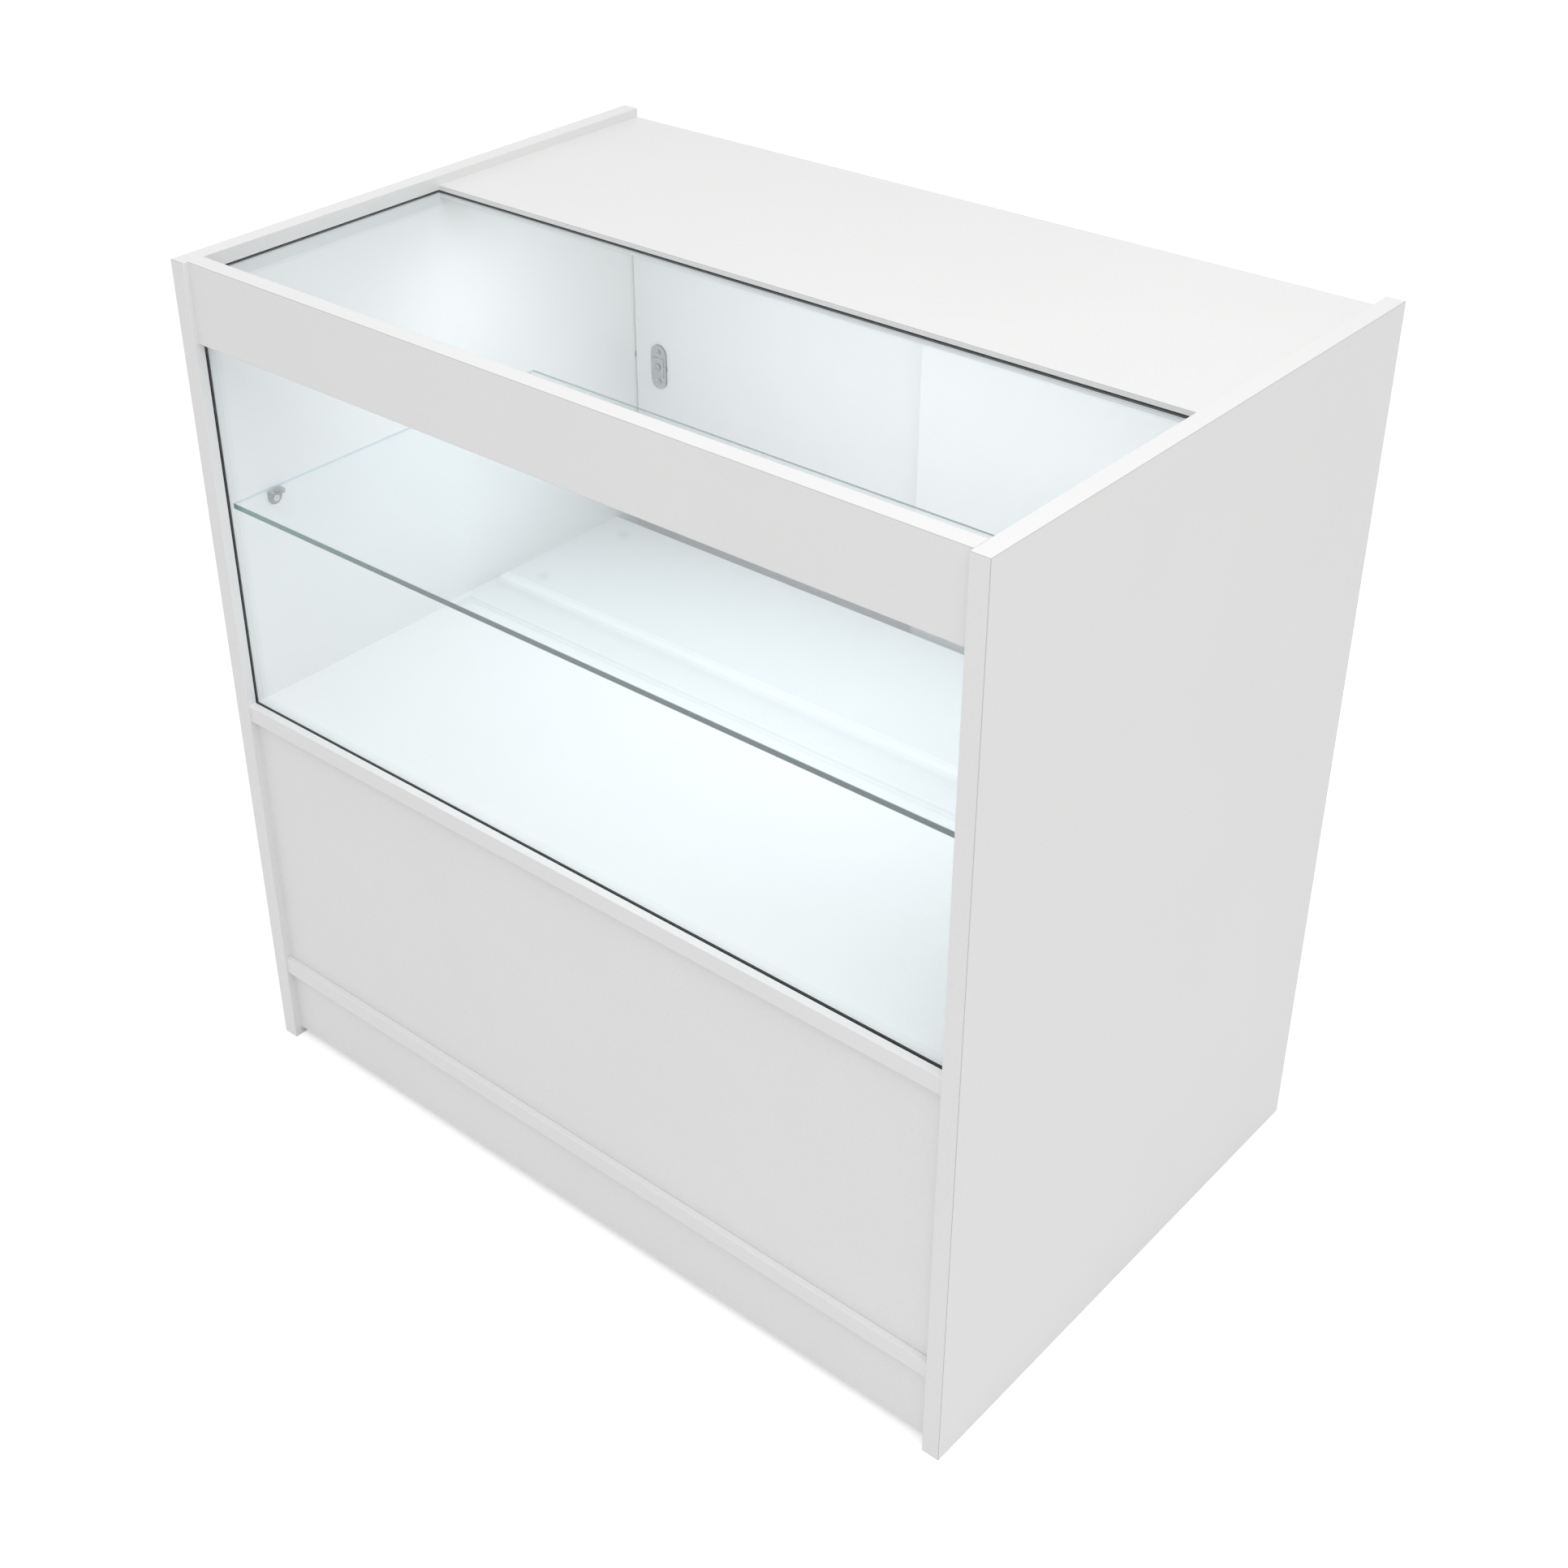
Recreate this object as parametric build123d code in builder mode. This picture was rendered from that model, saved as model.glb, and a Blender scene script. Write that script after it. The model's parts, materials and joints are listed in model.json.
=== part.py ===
from build123d import *
from math import pi, sin, cos, radians
import os

# Shop display counter: a white board carcass with a glass front, a glass top in front of a
# service board, one glass shelf, a storage space below and two sliding doors at the back.
# Millimetres. X runs to the right seen from the front, Y to the back, Z up.
# The origin is on the floor in the middle of the footprint.

# Overall size
WIDTH = 900
DEPTH = 598
HEIGHT = 900

# Boards, whose places are distances from the counter's front and heights
PANEL = 18
TOP_THICK = 16
EDGE_ROUND = 0.6
BOARD_SETBACK = 2
FASCIA_SETBACK = 5
RECESS = 9
PLINTH_LOW = 10
BOTTOM_TOP = 108
FLOOR_TOP = 431.5
FASCIA_LOW = 821
TOP_SURFACE = 890.5
FLOOR_DEPTH = 545
TOP_FRONT = 310

# Glass and the grooves that hold it
GLASS = 6
GROOVE = 7
GROOVE_DEPTH = 8
GASKET_FOOT = 1
SHELF_TOP = 654.5
SHELF_FRONT = 20.5
SHELF_DEPTH = 401
SHELF_SIDE_GAP = 1
SHELF_ARRIS = 0.4

# Sliding doors
LEAF = 16
LEAF_WIDTH = 450
LEAF_LOW = 116
LEAF_HIGH = 860
LEFT_LEAF_INNER = 582
RIGHT_LEAF_INNER = 560
SIDE_GAP = 1.5

# Cam and dowel fittings in every joint between a board and a side panel
CAM_INSET = 34
CAM_RADIUS = 7.5
CAM_DEPTH = 12.6
THREAD_LENGTH = 11
THREAD_RADIUS = 2.5
CAM_SLOT = 9
CAM_SLOT_WIDTH = 1.8
CAM_SLOT_DEPTH = 1.6
CAM_BOLT_RADIUS = 3
CAM_NECK_RADIUS = 1.9
CAM_BOLT_ROOM = 0.5
DOWEL_RADIUS = 4
DOWEL_IN_PANEL = 12
DOWEL_IN_BOARD = 23
DOWEL_CHAMFER = 0.8

# Places along a cam bolt, as distances beyond the cam's axis, seen from the side panel
CAM_LIPS_FROM = -3
CAM_LIPS_TO = 0.6
CAM_HOLLOW_TO = 4
BOLT_NECK_FROM = -6
BOLT_NECK_TO = 1
BOLT_HEAD_TO = 3

# Shelf brackets
BRACKET_PLACES = (70, 372)
BRACKET_WIDTH = 16
BRACKET_METAL = 1.5
BRACKET_REACH = 12
BRACKET_DROP = 16
BRACKET_TIP_CUT = 4
BRACKET_SCREW_DROP = 9
SHELF_PAD = 1.5
SHELF_PAD_RADIUS = 4

# Screws with a cross in the head
SCREW_RADIUS = 1.5
THIN_SCREW_RADIUS = 1.3
BRACKET_SCREW_LENGTH = 12
BRACKET_SCREW_HEAD_RADIUS = 3.5
BRACKET_SCREW_HEAD = 1.8
TRACK_SCREW_LENGTH = 14
TRACK_SCREW_HEAD_RADIUS = 3
TRACK_SCREW_HEAD = 1.4
TRACK_SCREW_SEAT = 0.5
TRACK_SCREW_XS = (-400, -200, 0, 200, 400)
CROSS_SIZE = 3
CROSS_WIDTH = 0.8
CROSS_DEPTH = 0.8

# Bottom track, a base with one rail under each door, and the rollers that run on it
TRACK_NEAR = 556
TRACK_BACK_GAP = 0.6
TRACK_END_GAP = 0.5
TRACK_BASE = 2
RAIL_WIDTH = 2
RAIL_TOP = 114
ROLLER_INSET = 60
ROLLER_GAP = 0.3
ROLLER_TREAD = 7.5
ROLLER_FLANGE = 9
ROLLER_WIDTH = 6
ROLLER_GROOVE = 2.8
AXLE_RADIUS = 1.5
AXLE_CLEARANCE = 0.06
HOUSING_LENGTH = 40
HOUSING_WIDTH = 10
HOUSING_HEIGHT = 20
HOUSING_SIDE = 1.7
HOUSING_ROOF = 3
HOUSING_MOUTH = 22

# Top guide, with a channel for each door's pins
GUIDE_NEAR = 558
GUIDE_BASE = 2
GUIDE_DROP = 10
GUIDE_CHANNEL = 8.6
GUIDE_WALL = 1.7
GUIDE_PIN_INSET = 40
GUIDE_PIN_RADIUS = 4
GUIDE_PIN_SUNK = 12
GUIDE_PIN_TOP_GAP = 2.5
GUIDE_PIN_CHAMFER = 0.8

# Flush pull in each door's outer face
PULL_HEIGHT_MIDDLE = 500
PULL_WIDTH = 22
PULL_LENGTH = 90
PULL_DEPTH = 9
PULL_WALL = 1.2
PULL_RIM = 2
PULL_RIM_THICK = 0.8

# Lock: a case through the door, a plug that the key turns, and a bolt above the plug's axis
# that enters a bush in the side panel. An eccentric pin on the plug drives the bolt.
LOCK_INSET = 37
LOCK_HEIGHT = 615
LOCK_CASE_RADIUS = 12
LOCK_PLATE_WIDTH = 22
LOCK_PLATE_LENGTH = 52
LOCK_PLATE = 2
LOCK_BOSS_WIDTH = 16
LOCK_BOSS_LENGTH = 22
LOCK_BOSS = 1.1
LOCK_BOSS_CHAMFER = 0.5
LOCK_SCREW_SPACING = 34
LOCK_SCREW_LENGTH = 12
LOCK_SCREW_HEAD_RADIUS = 2.8
LOCK_SCREW_HEAD = 1.2
PLUG_RADIUS = 6.4
PLUG_CLEARANCE = 0.08
PLUG_FACE_SUNK = 0.4
PLUG_INNER = 10.2
PLUG_POCKET = 6.6
KEY_SLOT_WIDTH = 1.4
KEY_SLOT_LENGTH = 8
KEY_SLOT_DEPTH = 3
SPINDLE_RADIUS = 1.5
SPINDLE_CAP_RADIUS = 4
SPINDLE_CAP = 0.8
SPINDLE_CAP_GAP = 0.1
PIN_RADIUS = 1.5
PIN_CIRCLE = 4.7
PIN_TIP = 6.7
PLUG_TURN = 90
BOLT_RADIUS = 3.4
BOLT_CLEARANCE = 0.08
BOLT_RISE = 5.3
BOLT_LINE = 6.5
BOLT_TIP_GAP = 0.2
BOLT_TIP_CHAMFER = 0.6
BOLT_NOTCH = 3.5
BOLT_NOTCH_FLOOR = 6.4
BOLT_HEEL = 1.6
BOLT_HEEL_ROOM = 0.3
LEAF_BOLT_BORE = 3.7
STRIKE_FLANGE_RADIUS = 7
STRIKE_FLANGE = 1
STRIKE_RADIUS = 4.8
STRIKE_BORE = 3.8
STRIKE_DEPTH = 9

# Light bar under the service board
LED_LINE = 350
LED_HALF_LENGTH = 420
LED_WIDTH = 17
LED_HEIGHT = 11
LED_WALL = 1.2
LED_BASE = 2
LED_BOARD_WIDTH = 11
LED_BOARD = 1.2
LED_BOARD_HALF_LENGTH = 405
LED_CHIP = 5
LED_CHIP_HEIGHT = 0.9
LED_SPACING = 30
LED_COUNT = 27
LED_DIFFUSER = 1.5
LED_CAP = 2
LED_SCREW_XS = (-380, -130, 130, 380)
LED_SCREW_LENGTH = 10
LED_SCREW_HEAD_RADIUS = 2.6
LED_SCREW_HEAD = 1.2
LED_SCREW_SEAT = 0.7
INLET_RADIUS = 3.2
INLET_FLANGE_RADIUS = 4
INLET_FLANGE = 1
INLET_LENGTH = 9
INLET_BORE = 2.4
INLET_BORE_DEPTH = 8
INLET_PIN = 0.7

# Worked out from the sizes above, in the frame of the whole counter
INNER = WIDTH / 2 - PANEL
FRONT = -DEPTH / 2
BACK = DEPTH / 2
BOTTOM_UNDER = BOTTOM_TOP - PANEL
FLOOR_UNDER = FLOOR_TOP - PANEL
TOP_UNDER = TOP_SURFACE - TOP_THICK
TOP_GROOVE = (TOP_SURFACE - TOP_THICK / 2 - GROOVE / 2, TOP_SURFACE - TOP_THICK / 2 + GROOVE / 2)
FASCIA_MIDDLE = FRONT + FASCIA_SETBACK + PANEL / 2
FASCIA_BACK = FRONT + FASCIA_SETBACK + PANEL
FRONT_GROOVE = (FASCIA_MIDDLE - GROOVE / 2, FASCIA_MIDDLE + GROOVE / 2)
GASKET_LIP = (GROOVE - GLASS) / 2
GLASS_BITE = GROOVE_DEPTH - GASKET_FOOT
BRACKET_TOP = SHELF_TOP - GLASS - SHELF_PAD
BRACKET_SCREWS = [(FRONT + y, BRACKET_TOP - BRACKET_SCREW_DROP) for y in BRACKET_PLACES]
BOARD_SPAN = (-INNER, INNER)

# Each door: its name, its side (-1 left, 1 right) and its inner face. The left door runs in
# the rear track, the right one in the track in front of it.
DOORS = (("left", -1, FRONT + LEFT_LEAF_INNER), ("right", 1, FRONT + RIGHT_LEAF_INNER))
TRACK_LINES = [inner_face + LEAF / 2 for _, _, inner_face in DOORS]
TRACK_MIDDLE = sum(TRACK_LINES) / 2
TRACK_X = (TRACK_END_GAP - INNER, INNER - TRACK_END_GAP)
TRACK_FAR = BACK - TRACK_BACK_GAP
ROLLER_HEIGHT = RAIL_TOP + ROLLER_GAP + ROLLER_TREAD

# Where the cams, bolts and dowels of each board are: which way the cams' hole opens, the face
# that it opens in, and the places in the YZ plane
FITTINGS = {
    "top_board": ("down", TOP_UNDER, TOP_UNDER + TOP_THICK / 2, (390, 520), (350, 560)),
    "display_floor": ("down", FLOOR_UNDER, FLOOR_UNDER + PANEL / 2, (100, 460), (60, 500)),
    "bottom_board": ("down", BOTTOM_UNDER, BOTTOM_UNDER + PANEL / 2, (100, 500), (60, 540)),
    "front_fascia": ("back", FASCIA_BACK, FASCIA_MIDDLE, (863,), (841,)),
    "lower_front_panel": ("back", FRONT + RECESS + PANEL, FRONT + RECESS + PANEL / 2,
                          (190, 330), (150, 370)),
    "front_plinth": ("back", FRONT + RECESS + PANEL, FRONT + RECESS + PANEL / 2, (62,), (32,)),
    "rear_plinth": ("front", BACK - RECESS - PANEL, BACK - RECESS - PANEL / 2, (62,), (32,)),
}
INTO_BOARD = {"down": (0, 0, 1), "back": (0, -1, 0), "front": (0, 1, 0)}


def block(x_span, y_span, z_span, mode=Mode.ADD):
    """Adds the box between the given pairs of X, Y and Z, or cuts it away."""
    middle = [(low + high) / 2 for low, high in (x_span, y_span, z_span)]
    sizes = [abs(high - low) for low, high in (x_span, y_span, z_span)]
    with Locations(tuple(middle)):
        Box(*sizes, mode=mode)


def around(middle, half):
    """The span that reaches half to both sides of a middle."""
    return (middle - half, middle + half)


def plane_at(point, normal):
    """The plane through a point with the given normal, whose own X axis is level."""
    level = (0, 1, 0) if normal[0] else (1, 0, 0)
    return Plane(origin=point, x_dir=level, z_dir=normal)


def spots_on(plane, points):
    """Points of the counter's frame as flat places on a plane."""
    local = [plane.to_local_coords(Vector(*point)) for point in points]
    return [(spot.X, spot.Y) for spot in local]


def discs(plane, points, radius, amount, mode=Mode.ADD):
    """Round bars along a plane's normal, at points of the counter's frame."""
    with BuildSketch(plane) as profile:
        with Locations(*spots_on(plane, points)):
            Circle(radius)
    extrude(profile.sketch, amount=amount, mode=mode)


def crosses(plane, points, size, width, depth):
    """Cuts driver slots, shaped like a cross, along a plane's normal."""
    with BuildSketch(plane) as profile:
        with Locations(*spots_on(plane, points)):
            Rectangle(size, width)
            Rectangle(width, size)
    extrude(profile.sketch, amount=depth, mode=Mode.SUBTRACT)


def screws(plane, points, length, radius, head_radius, head):
    """Screws whose shanks run along a plane's normal and whose heads stand behind it."""
    discs(plane, points, radius, length)
    discs(plane, points, head_radius, -head)
    crosses(plane.offset(-head), points, CROSS_SIZE, CROSS_WIDTH, CROSS_DEPTH)


def rod(s, point, near, far, radius, mode=Mode.ADD):
    """A round bar along X on side s, between two distances outwards from the panel's face."""
    y, z = point
    with Locations((s * (INNER + (near + far) / 2), y, z)):
        Cylinder(radius, abs(near - far), rotation=(0, 90, 0), mode=mode)


def rods(points, near, far, radius, mode=Mode.ADD):
    """The same round bars on both sides of the counter."""
    for s in (-1, 1):
        for point in points:
            rod(s, point, near, far, radius, mode)


def fitting_points(name, kind):
    """The cam or dowel places of one board, in the YZ plane."""
    mouth, _, line, cams, dowels = FITTINGS[name]
    along = cams if kind == "cams" else dowels
    if mouth == "down":
        return [(FRONT + y, line) for y in along]
    return [(line, z) for z in along]


def all_points(kind):
    """The cam or dowel places of every board, in the YZ plane."""
    return [point for name in FITTINGS for point in fitting_points(name, kind)]


def cam_plane(name):
    """The board face that a board's cams are let into, looking into the board."""
    mouth, face = FITTINGS[name][:2]
    return plane_at((0, 0, face) if mouth == "down" else (0, face, 0), INTO_BOARD[mouth])


def cam_spots(name):
    """The middles of a board's cams, in the counter's frame."""
    return [(s * (INNER - CAM_INSET), y, z) for s in (-1, 1) for y, z in fitting_points(name, "cams")]


def bore_for_fittings(name):
    """Cuts a board's holes for its cams, cam bolts and dowels."""
    discs(cam_plane(name), cam_spots(name), CAM_RADIUS, CAM_DEPTH, Mode.SUBTRACT)
    rods(fitting_points(name, "cams"), 0, -CAM_INSET, CAM_BOLT_RADIUS + CAM_BOLT_ROOM, Mode.SUBTRACT)
    rods(fitting_points(name, "dowels"), 0, -DOWEL_IN_BOARD, DOWEL_RADIUS, Mode.SUBTRACT)


def strike_point(inner_face):
    """Where a lock's bolt meets the side panel, in the YZ plane."""
    return (inner_face + BOLT_LINE, LOCK_HEIGHT + BOLT_RISE)


def in_a_row(xs, y, z):
    """Points in a row along X."""
    return [(x, y, z) for x in xs]


def save(piece, name):
    """Labels a finished piece and writes it."""
    piece.part.label = name
    export_step(piece.part, f"parts/{name}.step")


os.makedirs("parts", exist_ok=True)

# Side panels, grooved on the inner face for both panes
for side, s, leaf_inner in DOORS:
    with BuildPart() as side_panel:
        with BuildSketch(Plane.YZ.offset(s * INNER)):
            with Locations((0, HEIGHT / 2)):
                Rectangle(DEPTH, HEIGHT)
        extrude(amount=s * PANEL)
        fillet(side_panel.edges(), EDGE_ROUND)
        groove_x = (s * INNER, s * (INNER + GROOVE_DEPTH))
        block(groove_x, FRONT_GROOVE, (FLOOR_TOP - GROOVE_DEPTH, FASCIA_LOW + GROOVE_DEPTH),
              Mode.SUBTRACT)
        block(groove_x, (FASCIA_BACK - GROOVE_DEPTH, FRONT + TOP_FRONT + GROOVE_DEPTH), TOP_GROOVE,
              Mode.SUBTRACT)
        for point in all_points("cams"):
            rod(s, point, 0, THREAD_LENGTH, THREAD_RADIUS, Mode.SUBTRACT)
        for point in all_points("dowels"):
            rod(s, point, 0, DOWEL_IN_PANEL, DOWEL_RADIUS, Mode.SUBTRACT)
        for point in BRACKET_SCREWS:
            rod(s, point, 0, BRACKET_SCREW_LENGTH - BRACKET_METAL, SCREW_RADIUS, Mode.SUBTRACT)
        rod(s, strike_point(leaf_inner), 0, STRIKE_FLANGE, STRIKE_FLANGE_RADIUS, Mode.SUBTRACT)
        rod(s, strike_point(leaf_inner), 0, STRIKE_DEPTH, STRIKE_RADIUS, Mode.SUBTRACT)
    save(side_panel, f"side_panel_{side}")

# Fascia across the top of the front, with the front pane in its foot and the top pane behind
with BuildPart() as front_fascia:
    with BuildSketch(Plane.XY.offset(FASCIA_LOW)):
        with Locations((0, FASCIA_MIDDLE)):
            Rectangle(2 * INNER, PANEL)
    extrude(amount=HEIGHT - FASCIA_LOW)
    fillet(front_fascia.edges().filter_by(Axis.X), EDGE_ROUND)
    block(BOARD_SPAN, FRONT_GROOVE, (FASCIA_LOW, FASCIA_LOW + GROOVE_DEPTH), Mode.SUBTRACT)
    block(BOARD_SPAN, (FASCIA_BACK - GROOVE_DEPTH, FASCIA_BACK), TOP_GROOVE, Mode.SUBTRACT)
    bore_for_fittings("front_fascia")
save(front_fascia, "front_fascia")

# Service board behind the glass top, which carries the light bar and the top guide
with BuildPart() as top_board:
    with BuildSketch(Plane.XY.offset(TOP_UNDER)):
        with Locations((0, (FRONT + TOP_FRONT + BACK) / 2)):
            Rectangle(2 * INNER, DEPTH - TOP_FRONT)
    extrude(amount=TOP_THICK)
    fillet(top_board.edges().filter_by(Axis.X), EDGE_ROUND)
    block(BOARD_SPAN, (FRONT + TOP_FRONT, FRONT + TOP_FRONT + GROOVE_DEPTH), TOP_GROOVE, Mode.SUBTRACT)
    bore_for_fittings("top_board")
    discs(Plane.XY.offset(TOP_UNDER), in_a_row(TRACK_SCREW_XS, TRACK_MIDDLE, TOP_UNDER),
          SCREW_RADIUS, TRACK_SCREW_LENGTH - TRACK_SCREW_SEAT, Mode.SUBTRACT)
    discs(Plane.XY.offset(TOP_UNDER), in_a_row(LED_SCREW_XS, FRONT + LED_LINE, TOP_UNDER),
          THIN_SCREW_RADIUS, LED_SCREW_LENGTH - LED_SCREW_SEAT, Mode.SUBTRACT)
save(top_board, "top_board")

# Floor of the display space, which stops short of the doors
with BuildPart() as display_floor:
    with BuildSketch(Plane.XY.offset(FLOOR_UNDER)):
        with Locations((0, FRONT + (BOARD_SETBACK + FLOOR_DEPTH) / 2)):
            Rectangle(2 * INNER, FLOOR_DEPTH - BOARD_SETBACK)
    extrude(amount=PANEL)
    fillet(display_floor.edges().filter_by(Axis.X), EDGE_ROUND)
    block(BOARD_SPAN, FRONT_GROOVE, (FLOOR_TOP - GROOVE_DEPTH, FLOOR_TOP), Mode.SUBTRACT)
    bore_for_fittings("display_floor")
save(display_floor, "display_floor")

# Board under the storage space, which carries the doors' track
with BuildPart() as bottom_board:
    with BuildSketch(Plane.XY.offset(BOTTOM_UNDER)):
        with Locations((0, FRONT + (BOARD_SETBACK + DEPTH) / 2)):
            Rectangle(2 * INNER, DEPTH - BOARD_SETBACK)
    extrude(amount=PANEL)
    fillet(bottom_board.edges().filter_by(Axis.X), EDGE_ROUND)
    bore_for_fittings("bottom_board")
    discs(Plane.XY.offset(BOTTOM_TOP), in_a_row(TRACK_SCREW_XS, TRACK_MIDDLE, BOTTOM_TOP),
          SCREW_RADIUS, TRACK_SCREW_SEAT - TRACK_SCREW_LENGTH, Mode.SUBTRACT)
save(bottom_board, "bottom_board")

# Panel that closes the front of the storage space
with BuildPart() as lower_front_panel:
    with BuildSketch(Plane.XY.offset(BOTTOM_TOP)):
        with Locations((0, FRONT + RECESS + PANEL / 2)):
            Rectangle(2 * INNER, PANEL)
    extrude(amount=FLOOR_UNDER - BOTTOM_TOP)
    bore_for_fittings("lower_front_panel")
save(lower_front_panel, "lower_front_panel")

# Plinths under the bottom board, clear of the floor
for name in ("front_plinth", "rear_plinth"):
    with BuildPart() as plinth:
        with BuildSketch(Plane.XY.offset(PLINTH_LOW)):
            with Locations((0, FITTINGS[name][2])):
                Rectangle(2 * INNER, PANEL)
        extrude(amount=BOTTOM_UNDER - PLINTH_LOW)
        fillet(plinth.edges().filter_by(Axis.X).group_by(Axis.Z)[0], EDGE_ROUND)
        bore_for_fittings(name)
    save(plinth, name)

# The two panes, held on all four edges, and the rubber channels round them. Each has the
# span of its groove along X, Y and Z, the open middle, and the axis that it is thin along.
OPEN_TOP = (BOARD_SPAN, (FASCIA_BACK, FRONT + TOP_FRONT), TOP_GROOVE)
OPEN_FRONT = (BOARD_SPAN, FRONT_GROOVE, (FLOOR_TOP, FASCIA_LOW))
for name, middle, thin in (("top_glass", OPEN_TOP, 2), ("front_glass", OPEN_FRONT, 1)):
    grooves, pane = [
        [around((low + high) / 2, (high - low) / 2 + (edge if axis == thin else bite))
         for axis, (low, high) in enumerate(middle)]
        for bite, edge in ((GROOVE_DEPTH, 0), (GLASS_BITE, -GASKET_LIP))]
    with BuildPart() as glass:
        block(*pane)
    save(glass, name)
    with BuildPart() as gasket:
        block(*grooves)
        block(*middle, Mode.SUBTRACT)
        block(*pane, Mode.SUBTRACT)
    save(gasket, f"{name}_gasket")

# Glass shelf with ground edges
with BuildPart() as glass_shelf:
    with BuildSketch(Plane.XY.offset(SHELF_TOP - GLASS)):
        with Locations((0, FRONT + SHELF_FRONT + SHELF_DEPTH / 2)):
            Rectangle(2 * (INNER - SHELF_SIDE_GAP), SHELF_DEPTH)
    extrude(amount=GLASS)
    chamfer(glass_shelf.edges().group_by(Axis.Z)[0], SHELF_ARRIS)
    chamfer(glass_shelf.edges().group_by(Axis.Z)[-1], SHELF_ARRIS)
save(glass_shelf, "glass_shelf")

# Four brackets for the shelf, each a leg on the side panel and a tongue under the glass
with BuildPart() as shelf_brackets:
    for s in (-1, 1):
        for y in BRACKET_PLACES:
            near, far = around(FRONT + y, BRACKET_WIDTH / 2)
            foot = BRACKET_TOP - BRACKET_DROP + BRACKET_WIDTH / 2
            tip = s * (INNER - BRACKET_REACH)
            shoulder = tip + s * BRACKET_TIP_CUT
            with BuildSketch(Plane.YZ.offset(s * INNER)):
                with Locations((FRONT + y, foot)):
                    Circle(BRACKET_WIDTH / 2)
                with Locations((FRONT + y, (BRACKET_TOP + foot) / 2)):
                    Rectangle(BRACKET_WIDTH, BRACKET_TOP - foot)
            extrude(amount=-s * BRACKET_METAL)
            with BuildSketch(Plane.XY.offset(BRACKET_TOP - BRACKET_METAL)):
                with BuildLine():
                    Polyline((s * INNER, near), (shoulder, near), (tip, near + BRACKET_TIP_CUT),
                             (tip, far - BRACKET_TIP_CUT), (shoulder, far), (s * INNER, far),
                             close=True)
                make_face()
            extrude(amount=BRACKET_METAL)
    rods(BRACKET_SCREWS, 0, -BRACKET_METAL, SCREW_RADIUS, Mode.SUBTRACT)
save(shelf_brackets, "shelf_brackets")

# Clear pads between the brackets and the shelf
pad_spots = [(s * (INNER - BRACKET_REACH / 2), FRONT + y, BRACKET_TOP)
             for s in (-1, 1) for y in BRACKET_PLACES]
with BuildPart() as shelf_bracket_pads:
    discs(Plane.XY.offset(BRACKET_TOP), pad_spots, SHELF_PAD_RADIUS, SHELF_PAD)
save(shelf_bracket_pads, "shelf_bracket_pads")

# Screws of the shelf brackets
with BuildPart() as shelf_bracket_screws:
    for s in (-1, 1):
        screw_face = s * (INNER - BRACKET_METAL)
        screws(plane_at((screw_face, 0, 0), (s, 0, 0)), [(screw_face, y, z) for y, z in BRACKET_SCREWS],
               BRACKET_SCREW_LENGTH, SCREW_RADIUS, BRACKET_SCREW_HEAD_RADIUS, BRACKET_SCREW_HEAD)
save(shelf_bracket_screws, "shelf_bracket_screws")

# Cam housings: drums with a driver slot, and a hole that takes the bolt's head behind two lips
entry_end = CAM_INSET + CAM_LIPS_FROM
lips_end = CAM_INSET + CAM_LIPS_TO
hollow_end = CAM_INSET + CAM_HOLLOW_TO
with BuildPart() as cam_housings:
    for name in FITTINGS:
        discs(cam_plane(name), cam_spots(name), CAM_RADIUS, CAM_DEPTH)
        crosses(cam_plane(name), cam_spots(name), CAM_SLOT, CAM_SLOT_WIDTH, CAM_SLOT_DEPTH)
    for near, far, radius in ((0, entry_end, CAM_BOLT_RADIUS), (entry_end, lips_end, CAM_NECK_RADIUS),
                              (lips_end, hollow_end, CAM_BOLT_RADIUS)):
        rods(all_points("cams"), -near, -far, radius + CAM_BOLT_ROOM, Mode.SUBTRACT)
save(cam_housings, "cam_housings")

# Cam bolts: a thread in the panel, then a shank, a neck and a head inside the cam
neck_start = CAM_INSET + BOLT_NECK_FROM
neck_end = CAM_INSET + BOLT_NECK_TO
head_end = CAM_INSET + BOLT_HEAD_TO
with BuildPart() as cam_bolts:
    rods(all_points("cams"), THREAD_LENGTH, 0, THREAD_RADIUS)
    rods(all_points("cams"), 0, -neck_start, CAM_BOLT_RADIUS)
    rods(all_points("cams"), -neck_start, -neck_end, CAM_NECK_RADIUS)
    rods(all_points("cams"), -neck_end, -head_end, CAM_BOLT_RADIUS)
save(cam_bolts, "cam_bolts")

# Wooden dowels with chamfered ends
with BuildPart() as wood_dowels:
    rods(all_points("dowels"), DOWEL_IN_PANEL, -DOWEL_IN_BOARD, DOWEL_RADIUS)
    chamfer(wood_dowels.edges().filter_by(GeomType.CIRCLE), DOWEL_CHAMFER)
save(wood_dowels, "wood_dowels")

# Bottom track
track_seat = BOTTOM_TOP + TRACK_SCREW_SEAT
seat_spots = in_a_row(TRACK_SCREW_XS, TRACK_MIDDLE, track_seat)
with BuildPart() as bottom_track:
    block(TRACK_X, (FRONT + TRACK_NEAR, TRACK_FAR), (BOTTOM_TOP, BOTTOM_TOP + TRACK_BASE))
    for line in TRACK_LINES:
        block(TRACK_X, around(line, RAIL_WIDTH / 2), (BOTTOM_TOP + TRACK_BASE, RAIL_TOP))
    discs(Plane.XY.offset(track_seat), seat_spots, SCREW_RADIUS, -TRACK_SCREW_SEAT, Mode.SUBTRACT)
    discs(Plane.XY.offset(track_seat), seat_spots, TRACK_SCREW_HEAD_RADIUS, TRACK_BASE, Mode.SUBTRACT)
save(bottom_track, "bottom_track")

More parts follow.
